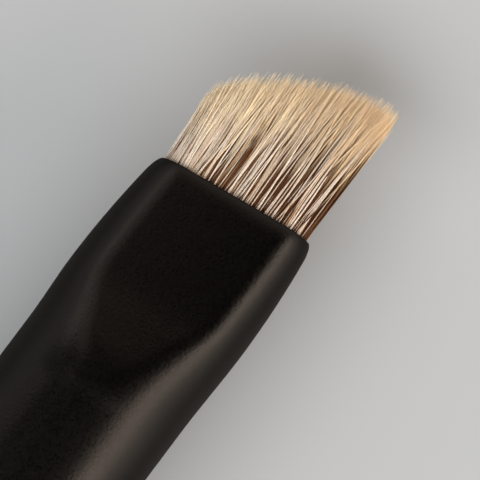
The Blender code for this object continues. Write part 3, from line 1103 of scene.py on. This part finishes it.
    def strand_map(self, tones: Array, from_tip: Array, finish: HairFinish) -> Array:
        """The strands' map, face corner by face corner.

        A strand takes the narrow upright strip of its tone. u runs round it and v from tip to root,
        steeply over the reach that shows and gently behind it. The two end caps are small rings there.

        Args:
            tones: Tone number of each strand.
            from_tip: Distance of each ring from its tip.
            finish: The finish that reads the map.

        Returns:
            U and V of every corner, in the order of tubes().
        """
        v = finish.map_share * np.minimum(from_tip / finish.map_reach, 1.0)
        v += (1 - finish.map_share) * np.maximum(from_tip - finish.map_reach, 0.0) / finish.map_behind
        side = np.arange(self.sides)
        way = np.stack((side, side + 1, side + 1, side), axis=-1) / self.sides
        way = self.map_margin + (1 - 2 * self.map_margin) * way
        u = (tones[:, None, None, None] + way) / finish.tones
        ends = np.stack((v[:, :-1], v[:, :-1], v[:, 1:], v[:, 1:]), axis=-1)[:, :, None, :]
        places = [np.stack(np.broadcast_arrays(u, ends), axis=-1)]
        turn = math.tau * side / self.sides
        u = (tones[:, None] + 0.5 + CAP_RADIUS * np.cos(turn)) / finish.tones
        for row in self.cap_rows:
            v = row + self.cap_height * np.sin(turn)
            places.append(np.stack(np.broadcast_arrays(u, v), axis=-1))
        return np.concatenate([part.reshape(-1, 2) for part in places])

    def tubes(self, lines: Array, radii: Array, turn: Array) -> tuple[Array, list[Array]]:
        """A closed tube round each centre line.

        Args:
            lines: Centre lines as (strand, ring, 3), from tip to root.
            radii: Radius of each ring.
            turn: Angle of each strand's first corner.

        Returns:
            All points, and the faces: the tubes' quads, the tips' caps and the roots' caps.
        """
        count, rings, _ = lines.shape
        angle = turn[:, None, None] + math.tau * np.arange(self.sides) / self.sides
        y = lines[:, :, 1:2] + radii[:, :, None] * np.sin(angle)
        z = lines[:, :, 2:3] + radii[:, :, None] * np.cos(angle)
        points = np.stack(np.broadcast_arrays(lines[:, :, 0:1], y, z), axis=-1)
        first = np.arange(count)[:, None, None] * rings * self.sides
        return points, [(first + faces).reshape(-1, faces.shape[1]) for faces in rod_faces(rings, self.sides)]

    def build(self) -> None:
        """The kinds of hair, a piece each."""
        y, z, inner, guard = self.layers()
        z = self.bundle.ferrule.crowned(y, z, np.array([self.bundle.mouth_depth]))[0]
        clump = self.clumps(y, z)
        kinds = self.kinds(y, inner, guard, clump[0])
        lines, from_tip = self.paths(y, z, guard, clump)
        share = np.concatenate((self.stations, (0.0, 0.0)))[None, :]
        past_start = np.clip((share - self.taper_start) / (1 - self.taper_start), 0.0, 1.0)
        thin = 1 - (1 - self.tip_share) * past_start ** self.taper_power
        thick = np.exp(self.dice.normal(0.0, self.radius_varies, y.size))
        thick = thick * np.where(guard, self.guard_thicker, 1.0)
        radii = self.radius * thick[:, None] * thin
        turn = self.dice.uniform(0.0, math.tau, y.size)
        for kind, chosen in kinds.items():
            finish = HAIR_FINISHES[kind]
            points, faces = self.tubes(lines[chosen], radii[chosen], turn[chosen])
            places = self.strand_map(self.tones(y[chosen], finish), from_tip[chosen], finish)
            make_piece(kind.value, points, faces, "hair_tuft", finish.build(), places)


@dataclass
class Winding:
    """The thread wound tight round the bundle's root: one unbroken tube in a helix."""

    bundle: Bundle
    start_depth: float = 7.0 * MM
    diameter: float = 0.3 * MM
    turns: int = 5
    seat_gap: float = 0.04 * MM
    around: int = 10
    steps_per_turn: int = 72

    def build(self) -> None:
        """The tube: its centre goes round at the bundle's radius plus half a thread, a thread a turn back.

        On its map u runs along it and v round it.
        """
        steps = (self.turns - 1) * self.steps_per_turn + 1
        turn = math.tau * np.linspace(0.0, self.turns - 1, steps)[:, None]
        side = math.tau * np.arange(self.around) / self.around
        half = self.diameter / 2
        radius = self.bundle.root_radius() + self.seat_gap + half + half * np.cos(side)
        back = self.start_depth + half + self.diameter * turn / math.tau + half * np.sin(side)
        points = self.bundle.ferrule.turned(back, radius, turn)
        along = (np.arange(steps - 1)[:, None, None] + np.array([0, 0, 1, 1])) / (steps - 1)
        about = (np.arange(self.around)[None, :, None] + np.array([0, 1, 1, 0])) / self.around
        tube = np.stack(np.broadcast_arrays(along, about), axis=-1).reshape(-1, 2)
        cap = 0.5 + CAP_RADIUS * np.stack((np.cos(side), np.sin(side)), axis=-1)
        places = np.concatenate((tube, cap, cap))
        faces = rod_faces(steps, self.around)
        make_piece("wound_thread", points, faces, "binding_thread", ThreadFinish().build(), places)


@dataclass(frozen=True)
class Softbox:
    """A large soft lamp that faces the brush."""

    name: str
    azimuth: float
    elevation: float
    distance: float
    width: float
    height: float
    radiance: float
    tint: tuple[float, float, float]

    def build(self, aim: Vector) -> None:
        """Stand the lamp round the aim; its power is radiance times area times pi.

        Args:
            aim: The point that it faces.
        """
        azimuth, elevation = math.radians(self.azimuth), math.radians(self.elevation)
        level = math.cos(elevation)
        out = Vector((level * math.cos(azimuth), level * math.sin(azimuth), math.sin(elevation)))
        data = bpy.data.lights.new(self.name, "AREA")
        data.shape = "RECTANGLE"
        data.size, data.size_y = self.width, self.height
        data.energy = self.radiance * self.width * self.height * math.pi
        data.color = self.tint
        lamp = bpy.data.objects.new(self.name, data)
        lamp.location = aim + out * self.distance
        lamp.rotation_mode = "QUATERNION"
        lamp.rotation_quaternion = out.to_track_quat("Z", "Y")
        lamp.visible_camera = False
        bpy.context.scene.collection.objects.link(lamp)


@dataclass
class Studio:
    """Pale floor, soft lamps round the brush and above it, and a sky that pales towards the horizon."""

    floor_z: float
    half_floor: float = 4.0
    aim_x: float = 0.02
    lamps: tuple = (
        Softbox("key", -90.0, 20.0, 1.0, 1.7, 0.64, 4.25, (1.0, 0.93, 0.85)),
        Softbox("fill", 63.0, 28.0, 1.0, 0.6, 0.5, 1.5, (0.96, 0.97, 1.0)),
        Softbox("roof_panel", 47.0, 54.0, 1.0, 0.34, 0.34, 1.05, (1.0, 0.97, 0.93)),
        Softbox("tail_lamp", 180.0, 53.0, 1.0, 1.5, 0.74, 4.6, (0.95, 0.975, 1.0)),
        Softbox("front_lamp", 5.0, 27.0, 1.0, 1.4, 0.70, 0.65, (1.0, 0.90, 0.79)),
    )
    sky: tuple = ((0.0, 0.55), (0.2, 0.36), (0.45, 0.12), (0.8, 0.02), (1.0, 0.01))

    def build(self) -> None:
        """Make the floor, the lamps and the sky, whose strength follows the height of a direction."""
        mesh = bpy.data.meshes.new("floor")
        ways = ((-1, -1), (1, -1), (1, 1), (-1, 1))
        corners = [(x * self.half_floor, y * self.half_floor, self.floor_z) for x, y in ways]
        mesh.from_pydata(corners, [], [(0, 1, 2, 3)])
        mesh.materials.append(FloorFinish().build())
        floor = bpy.data.objects.new("floor", mesh)
        bpy.context.scene.collection.objects.link(floor)
        for lamp in self.lamps:
            lamp.build(Vector((self.aim_x, 0.0, self.floor_z)))
        world = bpy.data.worlds.new("studio_sky")
        graph = Graph(world)
        ramp = graph.add("ValToRGB", {0: graph.split(graph.add("TexCoord").outputs["Generated"])[2]})
        ramp.color_ramp.interpolation = "EASE"
        stops = ramp.color_ramp.elements
        while len(stops) < len(self.sky):
            stops.new(0.5)
        for stop, (height, level) in zip(stops, self.sky):
            stop.position = height
            stop.color = colour(level, level, level)
        graph.feed(graph.nodes["Background"], {"Color": ramp.outputs[0]})
        bpy.context.scene.world = world


@dataclass
class PhotoCamera:
    """Camera at the photograph's angle, given by the real size of a pixel at the ferrule's mouth."""

    aim: Vector
    picture: int = 480
    pixel: float = 0.0394 * MM
    pitch: float = math.radians(5.0)
    roll: float = math.radians(5.0)
    turned: float = math.radians(53.1)
    distance: float = 0.2
    mouth_ahead: float = 28.2
    mouth_aside: float = 27.0
    sensor: float = 36.0
    clip: tuple = (0.01, 100.0)

    def build(self) -> None:
        """Stand the camera over the tuft, tipped towards the tail and rolled towards the long hair."""
        level = math.cos(self.pitch)
        back = Vector((-math.sin(self.pitch), -level * math.sin(self.roll), level * math.cos(self.roll)))
        along = (Vector((1.0, 0.0, 0.0)) - back * back.x).normalized()
        side = along.cross(back)
        right = along * math.cos(self.turned) + side * math.sin(self.turned)
        up = along * math.sin(self.turned) - side * math.cos(self.turned)
        centre = self.aim - along * self.mouth_ahead * self.pixel + side * self.mouth_aside * self.pixel
        data = bpy.data.cameras.new("photo_camera")
        data.sensor_width = self.sensor
        data.lens = self.sensor * self.distance / (self.picture * self.pixel)
        data.clip_start, data.clip_end = self.clip
        camera = bpy.data.objects.new("photo_camera", data)
        turn = Matrix((right, up, back)).transposed().to_4x4()
        turn.translation = centre + back * self.distance
        camera.matrix_world = turn
        bpy.context.scene.collection.objects.link(camera)
        bpy.context.scene.camera = camera


class Brush:
    """The whole brush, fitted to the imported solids."""

    def __init__(self) -> None:
        """Read where the solids lie: the ferrule's back rim and the handle's axis fix the rest."""
        ferrule_low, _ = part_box("ferrule")
        handle_low, handle_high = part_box("handle")
        axis_z = (handle_low.z + handle_high.z) / 2
        self.ferrule = Ferrule(mouth_x=ferrule_low.x + Ferrule.length, axis_z=axis_z)
        self.handle = Handle(self.ferrule)
        bundle = Bundle(self.ferrule)
        self.tuft = Tuft(bundle)
        self.winding = Winding(bundle)

    def build(self) -> None:
        """Build the pieces that show, and dress the solids that stay."""
        for part in (self.ferrule, self.handle, self.tuft, self.winding):
            part.build()
        for node, finish in GLUES.items():
            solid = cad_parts[node]
            solid.data.materials.clear()
            solid.data.materials.append(finish.build())
            log.info("%s: packed solid, finished as %s", node, finish.name)


def main() -> None:
    """Build the brush, the studio and the camera."""
    logging.basicConfig(level=logging.INFO, format="%(name)s: %(message)s")
    bpy.context.scene.view_settings.view_transform = "Standard"
    brush = Brush()
    brush.build()
    ferrule = brush.ferrule
    Studio(ferrule.axis_z - brush.handle.belly).build()
    PhotoCamera(Vector((ferrule.mouth_x, 0.0, ferrule.axis_z))).build()


if __name__ == "__main__":
    main()
